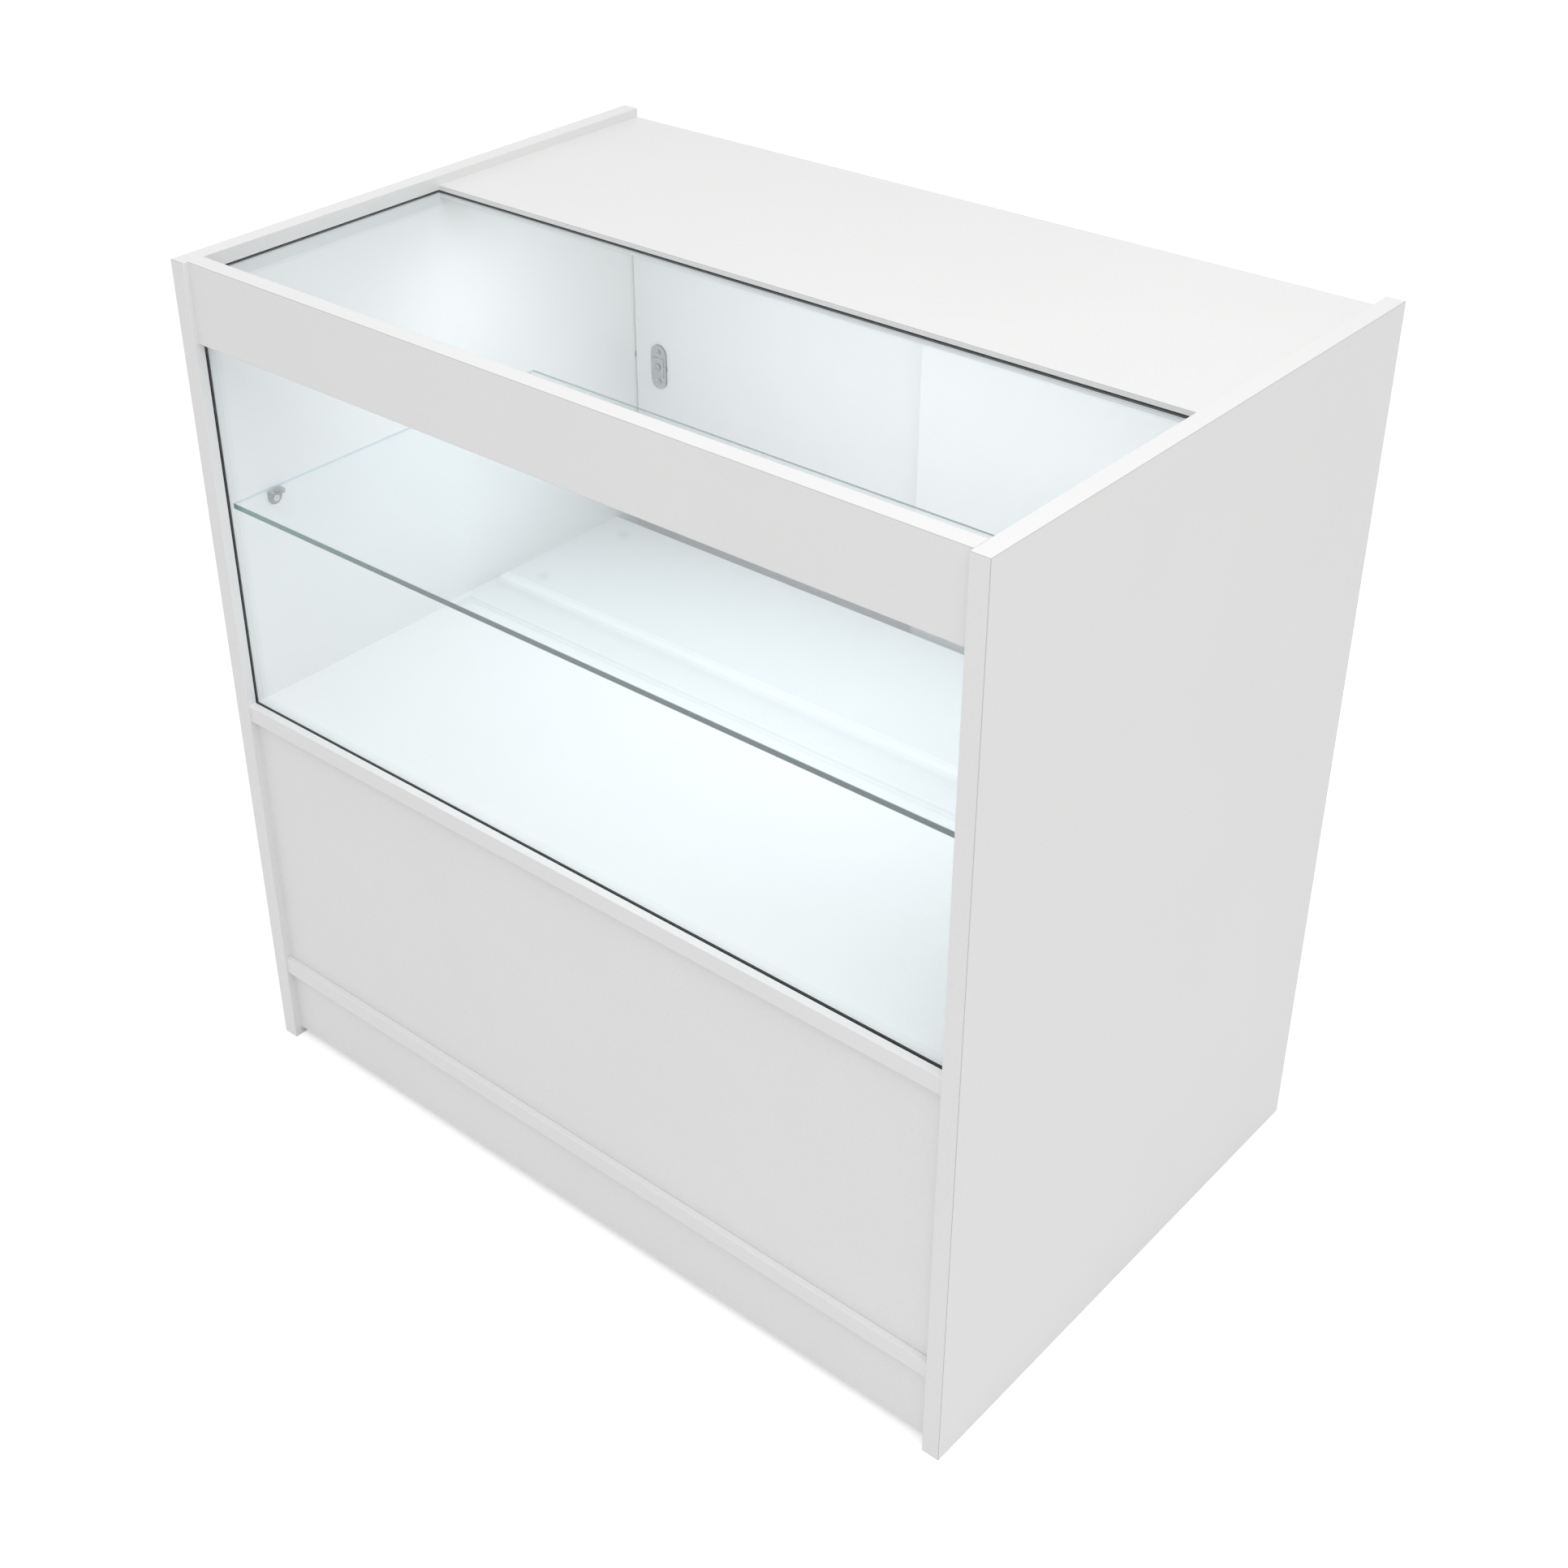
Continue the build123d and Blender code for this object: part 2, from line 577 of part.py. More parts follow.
with BuildPart() as bottom_track_screws:
    screws(plane_at((0, 0, track_seat), (0, 0, -1)), seat_spots, TRACK_SCREW_LENGTH,
           SCREW_RADIUS, TRACK_SCREW_HEAD_RADIUS, TRACK_SCREW_HEAD)
save(bottom_track_screws, "bottom_track_screws")

# Top guide
guide_face = TOP_UNDER - GUIDE_BASE
guide_seat = TOP_UNDER - TRACK_SCREW_SEAT
seat_spots = in_a_row(TRACK_SCREW_XS, TRACK_MIDDLE, guide_seat)
with BuildPart() as top_guide:
    block(TRACK_X, (FRONT + GUIDE_NEAR, TRACK_FAR), (guide_face, TOP_UNDER))
    for line in TRACK_LINES:
        for way in (-1, 1):
            wall_middle = line + way * (GUIDE_CHANNEL + GUIDE_WALL) / 2
            block(TRACK_X, around(wall_middle, GUIDE_WALL / 2), (guide_face - GUIDE_DROP, guide_face))
    discs(Plane.XY.offset(guide_seat), seat_spots, SCREW_RADIUS, TRACK_SCREW_SEAT, Mode.SUBTRACT)
    discs(Plane.XY.offset(guide_seat), seat_spots, TRACK_SCREW_HEAD_RADIUS, -GUIDE_BASE, Mode.SUBTRACT)
save(top_guide, "top_guide")

with BuildPart() as top_guide_screws:
    screws(Plane.XY.offset(guide_seat), seat_spots, TRACK_SCREW_LENGTH,
           SCREW_RADIUS, TRACK_SCREW_HEAD_RADIUS, TRACK_SCREW_HEAD)
save(top_guide_screws, "top_guide_screws")

# Light bar: a channel that opens downwards, with a board of lights and a clear cover
LED_MIDDLE = FRONT + LED_LINE
LED_X = around(0, LED_HALF_LENGTH)
LED_INSIDE = LED_WIDTH / 2 - LED_WALL
LED_LOW = TOP_UNDER - LED_HEIGHT
led_base_face = TOP_UNDER - LED_BASE
led_seat = TOP_UNDER - LED_SCREW_SEAT
led_spots = in_a_row(LED_SCREW_XS, LED_MIDDLE, led_seat)
with BuildPart() as led_channel:
    block(LED_X, around(LED_MIDDLE, LED_WIDTH / 2), (LED_LOW, TOP_UNDER))
    block(LED_X, around(LED_MIDDLE, LED_INSIDE), (LED_LOW, led_base_face), Mode.SUBTRACT)
    discs(Plane.XY.offset(led_seat), led_spots, THIN_SCREW_RADIUS, LED_SCREW_SEAT, Mode.SUBTRACT)
    discs(Plane.XY.offset(led_seat), led_spots, LED_SCREW_HEAD_RADIUS, -LED_BASE, Mode.SUBTRACT)
save(led_channel, "led_channel")

with BuildPart() as led_screws:
    screws(Plane.XY.offset(led_seat), led_spots, LED_SCREW_LENGTH, THIN_SCREW_RADIUS,
           LED_SCREW_HEAD_RADIUS, LED_SCREW_HEAD)
save(led_screws, "led_screws")

with BuildPart() as led_board:
    block(around(0, LED_BOARD_HALF_LENGTH), around(LED_MIDDLE, LED_BOARD_WIDTH / 2),
          (led_base_face - LED_BOARD, led_base_face))
save(led_board, "led_board")

with BuildPart() as led_chips:
    with BuildSketch(Plane.XY.offset(led_base_face - LED_BOARD)):
        with Locations((0, LED_MIDDLE)):
            with GridLocations(LED_SPACING, LED_SPACING, LED_COUNT, 1):
                Rectangle(LED_CHIP, LED_CHIP)
    extrude(amount=-LED_CHIP_HEIGHT)
save(led_chips, "led_chips")

with BuildPart() as led_diffuser:
    block(LED_X, around(LED_MIDDLE, LED_INSIDE), (LED_LOW, LED_LOW + LED_DIFFUSER))
save(led_diffuser, "led_diffuser")

# End caps of the light bar, with the power inlet through the right one
inlet_z = (LED_LOW + LED_DIFFUSER + led_base_face) / 2
inlet_axis = (LED_MIDDLE, inlet_z)
cap_far = LED_HALF_LENGTH + LED_CAP
with BuildPart() as led_end_caps:
    for s in (-1, 1):
        block((s * LED_HALF_LENGTH, s * cap_far), around(LED_MIDDLE, LED_WIDTH / 2),
              (LED_LOW, TOP_UNDER))
    rod(1, inlet_axis, LED_HALF_LENGTH - INNER, cap_far - INNER, INLET_RADIUS, Mode.SUBTRACT)
save(led_end_caps, "led_end_caps")

with BuildPart() as led_inlet:
    mouth_x = cap_far + INLET_FLANGE - INNER
    rod(1, inlet_axis, cap_far - INNER, mouth_x, INLET_FLANGE_RADIUS)
    rod(1, inlet_axis, cap_far - INNER, cap_far - INNER - INLET_LENGTH, INLET_RADIUS)
    rod(1, inlet_axis, mouth_x, mouth_x - INLET_BORE_DEPTH, INLET_BORE, Mode.SUBTRACT)
    rod(1, inlet_axis, mouth_x - INLET_FLANGE, mouth_x - INLET_BORE_DEPTH, INLET_PIN)
save(led_inlet, "led_inlet")

# Bushes in the side panels that the locks' bolts enter
with BuildPart() as strike_bushes:
    for _, s, leaf_inner in DOORS:
        rod(s, strike_point(leaf_inner), 0, STRIKE_FLANGE, STRIKE_FLANGE_RADIUS)
        rod(s, strike_point(leaf_inner), 0, STRIKE_DEPTH, STRIKE_RADIUS)
        rod(s, strike_point(leaf_inner), 0, STRIKE_DEPTH, STRIKE_BORE, Mode.SUBTRACT)
save(strike_bushes, "strike_bushes")

# Everything on the two doors
for side, s, leaf_inner in DOORS:
    leaf_outer = leaf_inner + LEAF
    line = leaf_inner + LEAF / 2
    leaf_middle = s * (INNER - SIDE_GAP - LEAF_WIDTH / 2)
    lock_x = s * (INNER - LOCK_INSET)
    inner_plane = plane_at((0, leaf_inner, 0), (0, 1, 0))
    outer_plane = plane_at((0, leaf_outer, 0), (0, -1, 0))
    roller_xs = around(leaf_middle, LEAF_WIDTH / 2 - ROLLER_INSET)
    pin_xs = around(leaf_middle, LEAF_WIDTH / 2 - GUIDE_PIN_INSET)
    pin_spots = [(x, line, LEAF_HIGH) for x in pin_xs]
    lock_screw_spots = [(lock_x, leaf_inner, LOCK_HEIGHT + way * LOCK_SCREW_SPACING / 2)
                        for way in (-1, 1)]
    lock_axis = [(lock_x, leaf_inner, LOCK_HEIGHT)]

    # Leaf, with its holes for the pull, the lock, the roller housings and the guide pins
    with BuildPart() as door_leaf:
        with BuildSketch(Plane.XY.offset(LEAF_LOW)):
            with Locations((leaf_middle, line)):
                Rectangle(LEAF_WIDTH, LEAF)
        extrude(amount=LEAF_HIGH - LEAF_LOW)
        fillet(door_leaf.edges(), EDGE_ROUND)
        for x in roller_xs:
            block(around(x, HOUSING_LENGTH / 2), around(line, HOUSING_WIDTH / 2),
                  (LEAF_LOW, LEAF_LOW + HOUSING_HEIGHT), Mode.SUBTRACT)
        discs(Plane.XY.offset(LEAF_HIGH), pin_spots, GUIDE_PIN_RADIUS, -GUIDE_PIN_SUNK, Mode.SUBTRACT)
        discs(inner_plane, lock_axis, LOCK_CASE_RADIUS, LEAF, Mode.SUBTRACT)
        discs(inner_plane, lock_screw_spots, THIN_SCREW_RADIUS, LOCK_SCREW_LENGTH - LOCK_PLATE,
              Mode.SUBTRACT)
        rod(s, strike_point(leaf_inner), -LOCK_INSET, 0, LEAF_BOLT_BORE, Mode.SUBTRACT)
        for rim, depth in ((PULL_RIM, PULL_RIM_THICK), (0, PULL_DEPTH)):
            with BuildSketch(outer_plane):
                with Locations(*spots_on(outer_plane, [(lock_x, leaf_outer, PULL_HEIGHT_MIDDLE)])):
                    SlotOverall(PULL_LENGTH + 2 * rim, PULL_WIDTH + 2 * rim, rotation=90)
            extrude(amount=depth, mode=Mode.SUBTRACT)
    save(door_leaf, f"door_leaf_{side}")

    # Flush pull, an oblong cup with a thin rim
    with BuildPart() as door_pull:
        for rim, depth in ((PULL_RIM, PULL_RIM_THICK), (0, PULL_DEPTH)):
            with BuildSketch(outer_plane):
                with Locations(*spots_on(outer_plane, [(lock_x, leaf_outer, PULL_HEIGHT_MIDDLE)])):
                    SlotOverall(PULL_LENGTH + 2 * rim, PULL_WIDTH + 2 * rim, rotation=90)
            extrude(amount=depth)
        with BuildSketch(outer_plane):
            with Locations(*spots_on(outer_plane, [(lock_x, leaf_outer, PULL_HEIGHT_MIDDLE)])):
                SlotOverall(PULL_LENGTH - 2 * PULL_WALL, PULL_WIDTH - 2 * PULL_WALL, rotation=90)
        extrude(amount=PULL_DEPTH - PULL_WALL, mode=Mode.SUBTRACT)
    save(door_pull, f"door_pull_{side}")

    # Roller housings let into the leaf's foot, and their axles
    roller_spots = [(x, line, ROLLER_HEIGHT) for x in roller_xs]
    axle_plane = plane_at((0, line - HOUSING_WIDTH / 2, 0), (0, 1, 0))
    with BuildPart() as roller_housings:
        for x in roller_xs:
            block(around(x, HOUSING_LENGTH / 2), around(line, HOUSING_WIDTH / 2),
                  (LEAF_LOW, LEAF_LOW + HOUSING_HEIGHT))
            block(around(x, HOUSING_MOUTH / 2), around(line, HOUSING_WIDTH / 2 - HOUSING_SIDE),
                  (LEAF_LOW, LEAF_LOW + HOUSING_HEIGHT - HOUSING_ROOF), Mode.SUBTRACT)
        discs(axle_plane, roller_spots, AXLE_RADIUS, HOUSING_WIDTH, Mode.SUBTRACT)
    save(roller_housings, f"roller_housings_{side}")

    with BuildPart() as roller_axles:
        discs(axle_plane, roller_spots, AXLE_RADIUS, HOUSING_WIDTH)
    save(roller_axles, f"roller_axles_{side}")

    # Grooved rollers, one near the counter's side and one near its middle
    roller_plane = plane_at((0, line - ROLLER_WIDTH / 2, 0), (0, 1, 0))
    groove_plane = plane_at((0, line - ROLLER_GROOVE / 2, 0), (0, 1, 0))
    for place, x in zip(("outer", "middle"), sorted(roller_xs, key=abs, reverse=True)):
        spot = [(x, line, ROLLER_HEIGHT)]
        with BuildPart() as roller:
            discs(roller_plane, spot, ROLLER_FLANGE, ROLLER_WIDTH)
            discs(groove_plane, spot, ROLLER_FLANGE, ROLLER_GROOVE, Mode.SUBTRACT)
            discs(groove_plane, spot, ROLLER_TREAD, ROLLER_GROOVE)
            discs(roller_plane, spot, AXLE_RADIUS + AXLE_CLEARANCE, ROLLER_WIDTH, Mode.SUBTRACT)
        save(roller, f"roller_{side}_{place}")

    # Pins in the leaf's head, which run in the top guide
    with BuildPart() as guide_pins:
        pin_length = GUIDE_PIN_SUNK + guide_face - GUIDE_PIN_TOP_GAP - LEAF_HIGH
        discs(Plane.XY.offset(LEAF_HIGH - GUIDE_PIN_SUNK), pin_spots, GUIDE_PIN_RADIUS, pin_length)
        chamfer(guide_pins.edges().group_by(Axis.Z)[-1], GUIDE_PIN_CHAMFER)
    save(guide_pins, f"guide_pins_{side}")

    # Lock case, with its plate and boss on the leaf's inner face
    travel = 2 * PIN_CIRCLE * sin(radians(PLUG_TURN / 2))
    notch_middle = LOCK_INSET + travel / 2
    heel = notch_middle + BOLT_NOTCH / 2 + BOLT_HEEL
    boss_top = LOCK_PLATE + LOCK_BOSS
    with BuildPart() as lock_case:
        with BuildSketch(inner_plane):
            with Locations(*spots_on(inner_plane, lock_axis)):
                SlotOverall(LOCK_PLATE_LENGTH, LOCK_PLATE_WIDTH, rotation=90)
        extrude(amount=-LOCK_PLATE)
        with BuildSketch(inner_plane.offset(-LOCK_PLATE)):
            with Locations(*spots_on(inner_plane, lock_axis)):
                Rectangle(LOCK_BOSS_WIDTH, LOCK_BOSS_LENGTH)
        extrude(amount=-LOCK_BOSS)
        chamfer(lock_case.faces().sort_by(Axis.Y)[0].edges(), LOCK_BOSS_CHAMFER)
        discs(inner_plane, lock_axis, LOCK_CASE_RADIUS, LEAF)
        discs(outer_plane, lock_axis, PLUG_RADIUS + PLUG_CLEARANCE, LEAF - PLUG_POCKET, Mode.SUBTRACT)
        discs(outer_plane, lock_axis, SPINDLE_RADIUS + PLUG_CLEARANCE, LEAF + boss_top, Mode.SUBTRACT)
        discs(inner_plane, lock_screw_spots, THIN_SCREW_RADIUS, -LOCK_PLATE, Mode.SUBTRACT)
        rod(s, strike_point(leaf_inner), -heel - BOLT_HEEL_ROOM, LOCK_CASE_RADIUS - LOCK_INSET,
            BOLT_RADIUS + BOLT_CLEARANCE, Mode.SUBTRACT)
    save(lock_case, f"lock_case_{side}")

    with BuildPart() as lock_screws:
        screws(inner_plane.offset(-LOCK_PLATE), lock_screw_spots, LOCK_SCREW_LENGTH,
               THIN_SCREW_RADIUS, LOCK_SCREW_HEAD_RADIUS, LOCK_SCREW_HEAD)
    save(lock_screws, f"lock_screws_{side}")

    # Plug with a key slot, the pin that drives the bolt, and a spindle through the boss
    plug_end = leaf_inner + PLUG_INNER
    pin_spot = [(lock_x - s * PIN_CIRCLE * sin(radians(PLUG_TURN / 2)), leaf_inner,
                 LOCK_HEIGHT + PIN_CIRCLE * cos(radians(PLUG_TURN / 2)))]
    with BuildPart() as lock_plug:
        discs(plane_at((0, plug_end, 0), (0, 1, 0)), lock_axis, PLUG_RADIUS,
              LEAF - PLUG_FACE_SUNK - PLUG_INNER)
        with BuildSketch(outer_plane.offset(PLUG_FACE_SUNK)):
            with Locations(*spots_on(outer_plane, lock_axis)):
                Rectangle(KEY_SLOT_WIDTH, KEY_SLOT_LENGTH)
        extrude(amount=KEY_SLOT_DEPTH, mode=Mode.SUBTRACT)
        discs(plane_at((0, plug_end, 0), (0, -1, 0)), pin_spot, PIN_RADIUS, PLUG_INNER - PIN_TIP)
        discs(plane_at((0, plug_end, 0), (0, -1, 0)), lock_axis, SPINDLE_RADIUS,
              PLUG_INNER + boss_top + SPINDLE_CAP / 2)
    save(lock_plug, f"lock_plug_{side}")

    # Ring pressed on the spindle's end
    with BuildPart() as spindle_cap:
        cap_plane = inner_plane.offset(-boss_top - SPINDLE_CAP_GAP)
        discs(cap_plane, lock_axis, SPINDLE_CAP_RADIUS, -SPINDLE_CAP)
        discs(cap_plane, lock_axis, SPINDLE_RADIUS, -SPINDLE_CAP, Mode.SUBTRACT)
    save(spindle_cap, f"lock_spindle_cap_{side}")

    # Bolt, a round bar with a notch that the plug's pin runs in
    with BuildPart() as lock_bolt:
        rod(s, strike_point(leaf_inner), -heel, -SIDE_GAP - BOLT_TIP_GAP, BOLT_RADIUS)
        tip_edge = lock_bolt.edges().filter_by(GeomType.CIRCLE).sort_by(Axis.X)[0 if s < 0 else -1]
        chamfer(tip_edge, BOLT_TIP_CHAMFER)
        notch_x = s * (INNER - notch_middle)
        block(around(notch_x, BOLT_NOTCH / 2), (leaf_inner + BOLT_NOTCH_FLOOR, leaf_outer),
              around(LOCK_HEIGHT + BOLT_RISE, 2 * BOLT_RADIUS), Mode.SUBTRACT)
    save(lock_bolt, f"lock_bolt_{side}")

door_travel = 2 * (INNER - SIDE_GAP) - LEAF_WIDTH
print("bolt travel", round(travel, 3), "mm for", PLUG_TURN, "degrees, so",
      round(radians(PLUG_TURN) / travel, 4), "radians per mm")
print("roller turns", round(door_travel / (2 * pi * ROLLER_TREAD), 3), "times over a door's travel")
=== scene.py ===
# Shop display counter: its finishes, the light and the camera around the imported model.
# Metres, in the model's frame: X right seen from the front, Y to the back, Z up.
# A span is where a fade starts and where it ends. A bump is its depth and its strength.
import json
from math import radians

import bpy
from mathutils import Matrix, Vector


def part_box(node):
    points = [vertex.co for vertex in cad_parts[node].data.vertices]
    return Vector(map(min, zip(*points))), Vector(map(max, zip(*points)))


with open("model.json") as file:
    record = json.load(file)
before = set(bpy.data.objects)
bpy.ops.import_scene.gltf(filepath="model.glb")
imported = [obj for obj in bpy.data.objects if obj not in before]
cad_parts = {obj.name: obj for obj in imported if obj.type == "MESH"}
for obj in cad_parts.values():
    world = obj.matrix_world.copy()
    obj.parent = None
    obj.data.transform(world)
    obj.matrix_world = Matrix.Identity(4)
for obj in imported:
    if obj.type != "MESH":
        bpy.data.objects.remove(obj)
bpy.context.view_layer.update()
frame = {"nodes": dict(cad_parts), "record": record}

NODES = frame["nodes"]
SLOT_OF = {row["node"]: row["material_slot"] for row in frame["record"]["subparts"]}
X, Y, Z = range(3)
MM = 0.001

# Camera, fitted to the corners of the counter in the photograph
PHOTO_PIXELS = 1932
FOCAL_PIXELS = 2719.0
OPTICAL_CENTRE = (856.3, 874.9)
SENSOR_MM = 36
CAMERA_PLACE = (1.1813, -1.3963, 1.5959)
CAMERA_TURN = (58.1415, 1.0619, 41.7526)

# Light: the sky on the counter and as it is seen, the floor, the lamp overhead, and the lamp
# that hangs a little under the cover of the counter's own bar
SKY = 0.77
SKY_SEEN = 1.0
FLOOR_SIZE = 40
FLOOR_WHITE = (0.80, 0.80, 0.80)
FLOOR_ROUGHNESS = 0.9
FLOOR_GLOW = 0.43
KEY_PLACE = (1.25, -1.1, 3.3)
KEY_SIZE = (2.4, 2.4)
KEY_WATTS = 42
LED_GLOW = 0.35
LED_WATTS = 1.3
LED_SIZE = (0.66, 0.08)
LED_WHITE = (0.97, 0.99, 1.0)
LED_WARM = (1.0, 0.93, 0.70)
LED_DROP = 2 * MM

# The middle of a noise's range, over which most fades of it run
NOISE_SPAN = (0.3, 0.7)

# White board: specks, faint clouds, a thin line of painted shade on the arris of its edging, and
# the dark line of the edging's seam. The boards with plain edges show neither line in the
# photograph.
WHITE_BOARD = (0.800, 0.800, 0.797)
BOARD_SPECK = (0.745, 0.745, 0.742)
BOARD_SEAM_AND_ARRIS_SHADE = (0.470, 0.470, 0.468)
SPECK_SIZE = 1.5 * MM
SPECK_DETAIL = 3.0
SPECK_SPAN = (0.50, 0.72)
SPECK_SHARE = 0.55
CLOUD_SIZE = 120 * MM
CLOUD_SPAN = (0.35, 0.65)
CLOUD_SHARE = 0.12
ARRIS_SHADE_SPAN = (0.65 * MM, 0.20 * MM)
SEAM_INNER = (1.25 * MM, 1.17 * MM)
SEAM_OUTER = (1.00 * MM, 1.08 * MM)
SEAM_SHARE = 0.12
SEAM_DEPTH = 0.8
PEARL_SIZE = 0.7 * MM
BOARD_ROUGHNESS = (0.36, 0.50)
BOARD_BUMP = (0.06 * MM, 0.35)
COATING_IOR = 1.5
PLAIN_EDGED = ("display_floor", "bottom_board", "front_plinth")
PAST_JOINT = 1

# Glass: clear faces, and ground edges of the glass's own green, greyed towards the right by
# painted shade and made pale at the ends by painted light
PANE_TINT = (0.936, 0.976, 0.990)
SHELF_TINT = (0.968, 0.986, 0.992)
PANE_SHADOW = (0.978, 0.990, 0.993)
EDGE_GREEN = (0.045, 0.200, 0.150)
EDGE_PAINTED_SHADE = (0.060, 0.110, 0.115)
EDGE_PAINTED_LIGHT = (0.50, 0.62, 0.66)
EDGE_SHADE_FROM = 0.25
SQUARE_SPAN = (0.60, 0.90)
PANE_GROUND = 0.30
SHELF_GROUND = 0.18
EDGE_CLEARNESS = 0.05
GRIND_SIZE = 0.5 * MM
GRIND_DEPTH = 0.02 * MM
GRIND_STRENGTH = 0.3
GLASS_IOR = 1.52

# Metal
STEEL = (0.60, 0.60, 0.61)
NICKEL = (0.56, 0.55, 0.53)
ZINC = (0.42, 0.42, 0.43)
TRACK_ALUMINIUM = (0.66, 0.66, 0.67)
LED_ALUMINIUM = (0.62, 0.62, 0.63)
LOCK_NICKEL = (0.46, 0.50, 0.50)
# The colour of painted shade in the recesses of the locks and their screws
RECESS_PAINTED_SHADE = (0.020, 0.028, 0.030)
METAL_SHADE = 0.82
# Painted shade on the walls of small fittings, and the span over which it comes in
WALL_PAINTED_SHADE = 0.35
WALL_SHADE_SPAN = (0.85, 0.35)
LINE_SPAN = (0.35, 0.75)
LINE_DETAIL = 3.0
METAL_DRIFT = 14 * MM
METAL_SPREAD = 0.08
METAL_BUMP = 0.4
SCREW_FINISH = {"color": STEEL, "roughness": 0.24, "size": 0.3 * MM}
LOCK_FINISH = {"color": LOCK_NICKEL, "roughness": 0.24, "size": 0.35 * MM,
               "stretch": (1, 1, 0.08), "flat": Y}

# Painted shade on a lock, in rings round its screws and spindle cap and in the cap's hole: their
# inner and outer radii, and how far they soften on either side, in millimetres. An inner radius
# below 0 makes a disc.
CAP_SHADE_RING = (3.7, 4.2)
CAP_HOLE_SHADE = (-1.0, 1.5)
SCREW_SHADE_RING = (2.6, 3.0)
SOFT_OUTSIDE = 0.2
SOFT_INSIDE = 0.1
# How far behind a screw head's front the painted shade in its cross starts and is full
CROSS_SHADE_SPAN = (0.2 * MM, 0.5 * MM)

# Plastic, rubber and wood
RUBBER_BLACK = (0.012, 0.012, 0.013)
CIRCUIT_WHITE = (0.80, 0.80, 0.79)
PLASTIC_GREY = (0.30, 0.305, 0.31)
NYLON_WHITE = (0.74, 0.74, 0.71)
MOULD_SHADE = 0.86
MOULD_SIZE = 0.35 * MM
MOULD_DRIFT = 30 * MM
MOULD_SPREAD = 0.06
MOULD_BUMP = 0.5
FIBRE_SIZE = 0.6 * MM
FIBRE_DETAIL = 4.0
FIBRE_STRETCH = (0.04, 1, 1)
FIBRE_COLORS = ((0.56, 0.36, 0.19), (0.44, 0.26, 0.12))
RAY_SIZE = 1.8 * MM
RAY_STRETCH = (0.3, 1, 1)
RAY_SPAN = (0.55, 0.68)
RAY_SHARE = 0.5
RAY_COLOR = (0.30, 0.17, 0.08)
WOOD_ROUGHNESS = (0.55, 0.75)
WOOD_BUMP = (0.05 * MM, 0.5)
HAZE_SIZE = 1.2 * MM
HAZE_COLORS = ((0.80, 0.86, 0.86), (0.88, 0.92, 0.92))
HAZE_ROUGHNESS = (0.12, 0.3)
HAZE_CLEARNESS = 0.85
HAZE_IOR = 1.49
HAZE_BUMP = (0.02 * MM, 0.3)
FROST_SIZE = 0.4 * MM
FROST_COLORS = ((0.80, 0.82, 0.83), (0.86, 0.88, 0.88))
FROST_ROUGHNESS = (0.45, 0.65)
FROST_BUMP = (0.02 * MM, 0.4)

# The colour sockets of a Mix node, which have the same names as its other sockets
MIX_SHARE, MIX_ONE, MIX_OTHER, MIX_RESULT = 0, 6, 7, 2


def add(tree, kind, inputs=None, **settings):
    """Adds a shader node, with its settings and its inputs, which are values or sockets."""
    node = tree.nodes.new(f"ShaderNode{kind}")
    for name, value in settings.items():
        setattr(node, name, value)
    for name, value in (inputs or {}).items():
        if isinstance(value, bpy.types.NodeSocket):
            tree.links.new(value, node.inputs[name])
        else:
            node.inputs[name].default_value = value
    return node


def calc(tree, operation, *values):
    """A Math node's result."""
    return add(tree, "Math", dict(enumerate(values)), operation=operation).outputs[0]


def fade(tree, value, start, end, low=0.0, high=1.0):
    """A value that goes smoothly from low to high as another goes from start to end."""
    inputs = {"Value": value, "From Min": start, "From Max": end, "To Min": low, "To Max": high}
    return add(tree, "MapRange", inputs, interpolation_type="SMOOTHSTEP").outputs["Result"]


def blend(tree, share, one, other):
    """A mix of two colours."""
    node = add(tree, "Mix", data_type="RGBA")
    for index, value in ((MIX_SHARE, share), (MIX_ONE, one), (MIX_OTHER, other)):
        socket = node.inputs[index]
        if isinstance(value, bpy.types.NodeSocket):
            tree.links.new(value, socket)
        else:
            socket.default_value = value if isinstance(value, float) else (*value, 1.0)
    return node.outputs[MIX_RESULT]


def own_place(tree):
    """Where a point is on the piece itself."""
    return add(tree, "TexCoord").outputs["Object"]


def grain(tree, size, detail=2.0, stretch=(1, 1, 1)):
    """Noise on the piece itself, whose spots are about as large as size, in metres."""
    scaled = add(tree, "Mapping", {"Vector": own_place(tree), "Scale": stretch}).outputs[0]
    inputs = {"Vector": scaled, "Scale": 1 / size, "Detail": detail}
    return add(tree, "TexNoise", inputs).outputs[0]


def bumped(tree, height, depth, strength):
    """A normal roughened by a height map."""
    inputs = {"Height": height, "Distance": depth, "Strength": strength}
    return add(tree, "Bump", inputs).outputs[0]


def along(tree, axis):
    """How squarely the surface faces an axis of the object, 0 to 1."""
    normal = add(tree, "TexCoord").outputs["Normal"]
    parts = add(tree, "SeparateXYZ", {0: normal})
    return calc(tree, "ABSOLUTE", parts.outputs[axis])


def thinnest(low, high):
    """The axis along which a box is thinnest."""
    return min(range(3), key=lambda axis: high[axis] - low[axis])


